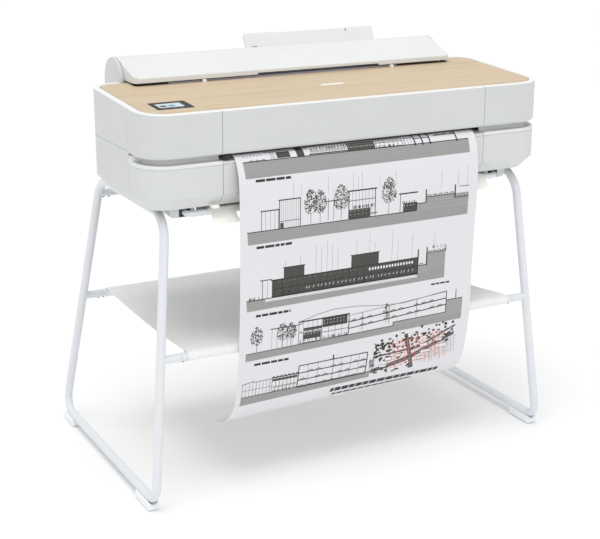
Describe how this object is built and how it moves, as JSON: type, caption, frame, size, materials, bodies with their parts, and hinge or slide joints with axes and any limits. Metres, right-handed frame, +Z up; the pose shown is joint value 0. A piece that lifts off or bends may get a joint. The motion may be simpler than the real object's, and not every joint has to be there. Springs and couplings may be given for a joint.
{
  "type": "large format plotter",
  "caption": "Wide roll-fed plotter with a wood-look top, roll cover, front cover and sheet tray, on a splayed tube stand with a fabric shelf and a hanging printed sheet.",
  "frame": {"origin": "on the floor below the middle of the machine's bounding box", "axes": "+Z up, front of the machine faces -Y, +X to the viewer's right when facing the front"},
  "size_m": [1.0556, 0.6164, 0.9582],
  "materials": {
    "cover_white": "fine satin moulded",
    "lower_white": "fine textured moulded",
    "wood": "pale wood-look laminate, satin",
    "tube_white": "semi-gloss powder coat",
    "cream": "matt",
    "fabric_grey": "plain weave",
    "paper": "matt coated",
    "black_plastic": "semi-gloss",
    "dark_plastic": "matt",
    "screen": "glossy panel",
    "steel": "ground bar",
    "sheet_steel": "zinc-plated sheet",
    "rubber": "matt",
    "ink_black": "moulded",
    "ink_cyan": "moulded",
    "ink_magenta": "moulded",
    "ink_yellow": "moulded"
  },
  "bodies": {
    "machine": {"upper_left_corner": "cover_white", "left_waist": "cover_white", "left_side_panel": "cover_white", "left_end_cap": "cover_white", "left_side_frame": "tube_white", "left_bracket": "lower_white", "left_rail_socket": "black_plastic", "foot_front_left": "cover_white", "foot_rear_left": "cover_white", "upper_right_corner": "cover_white", "right_waist": "cover_white", "right_side_panel": "cover_white", "right_end_cap": "cover_white", "right_side_frame": "tube_white", "right_bracket": "lower_white", "right_rail_socket": "black_plastic", "foot_front_right": "cover_white", "foot_rear_right": "cover_white", "lower_left_corner": "lower_white", "lower_centre_panel": "lower_white", "output_lip": "cover_white", "wood_top": "wood", "touchscreen_bezel": "black_plastic", "touchscreen_display": "screen", "bottom_pan": "sheet_steel", "chassis": "sheet_steel", "rear_housing": "lower_white", "printed_sheet": "paper", "platen": "dark_plastic", "carriage_rod": "steel", "drive_belt": "rubber", "ink_black": "ink_black", "ink_cyan": "ink_cyan", "ink_magenta": "ink_magenta", "ink_yellow": "ink_yellow", "power_inlet": "black_plastic", "lower_front_bar": "tube_white", "lower_rear_bar": "tube_white", "upper_rear_bar": "tube_white", "stand_screw_1": "steel", "stand_screw_2": "steel", "stand_screw_3": "steel", "stand_screw_4": "steel", "fabric_shelf": "fabric_grey", "front_rail": "tube_white"},
    "front_cover": {"front_cover": "cover_white"},
    "ink_door": {"ink_door": "lower_white"},
    "roll_cover": {"roll_cover": "cover_white"},
    "sheet_tray": {"sheet_tray": "cover_white"},
    "tray_extension": {"tray_extension": "cover_white"},
    "sheet_guide": {"sheet_guide": "dark_plastic"},
    "carriage": {"carriage": "dark_plastic", "printhead": "black_plastic"},
    "feed_roller": {"feed_roller": "rubber"},
    "pinch_roller": {"pinch_roller": "dark_plastic"},
    "spindle": {"spindle": "black_plastic", "paper_roll": "paper"},
    "output_flap": {"output_flap": "cream"},
    "power_button": {"power_button": "black_plastic"}
  },
  "joints": [
    {"name": "front_cover_hinge", "type": "hinge", "parent": "machine", "child": "front_cover", "pos_m": [0, -0.26624, 0.87228], "axis": [-1, 0, 0], "range_deg": [0, 85]},
    {"name": "ink_door_hinge", "type": "hinge", "parent": "machine", "child": "ink_door", "pos_m": [0.5065, -0.18564, 0.711], "axis": [0, 0, 1], "range_deg": [0, 80]},
    {"name": "roll_cover_hinge", "type": "hinge", "parent": "machine", "child": "roll_cover", "pos_m": [0, 0.11156, 0.883], "axis": [-1, 0, 0], "range_deg": [0, 75]},
    {"name": "sheet_tray_hinge", "type": "hinge", "parent": "machine", "child": "sheet_tray", "pos_m": [0.12, 0.18056, 0.886], "axis": [1, 0, 0], "range_deg": [0, 30]},
    {"name": "tray_extension_slide", "type": "slide", "parent": "sheet_tray", "child": "tray_extension", "axis": [0, 0.454, 0.891], "range_m": [0, 0.055]},
    {"name": "sheet_guide_slide", "type": "slide", "parent": "sheet_tray", "child": "sheet_guide", "axis": [1, 0, 0], "range_m": [0, 0.29]},
    {"name": "carriage_slide", "type": "slide", "parent": "machine", "child": "carriage", "axis": [1, 0, 0], "range_m": [-0.74, 0.02]},
    {"name": "feed_roller_spin", "type": "hinge", "parent": "machine", "child": "feed_roller", "pos_m": [0, -0.09044, 0.758], "axis": [1, 0, 0], "continuous": true},
    {"name": "pinch_roller_spin", "type": "hinge", "parent": "machine", "child": "pinch_roller", "pos_m": [0, -0.09044, 0.7772], "axis": [1, 0, 0], "continuous": true},
    {"name": "spindle_spin", "type": "hinge", "parent": "machine", "child": "spindle", "pos_m": [0, 0.11156, 0.883], "axis": [1, 0, 0], "continuous": true},
    {"name": "output_flap_hinge", "type": "hinge", "parent": "machine", "child": "output_flap", "pos_m": [0, -0.24544, 0.65], "axis": [1, 0, 0], "range_deg": [-25, 25]},
    {"name": "power_button_press", "type": "slide", "parent": "machine", "child": "power_button", "axis": [0, -1, 0], "range_m": [0, 0.0015], "stiffness_N_per_m": 300}
  ],
  "couplings": [
    {"joint": "pinch_roller_spin", "follows": "feed_roller_spin", "ratio": -2}
  ]
}
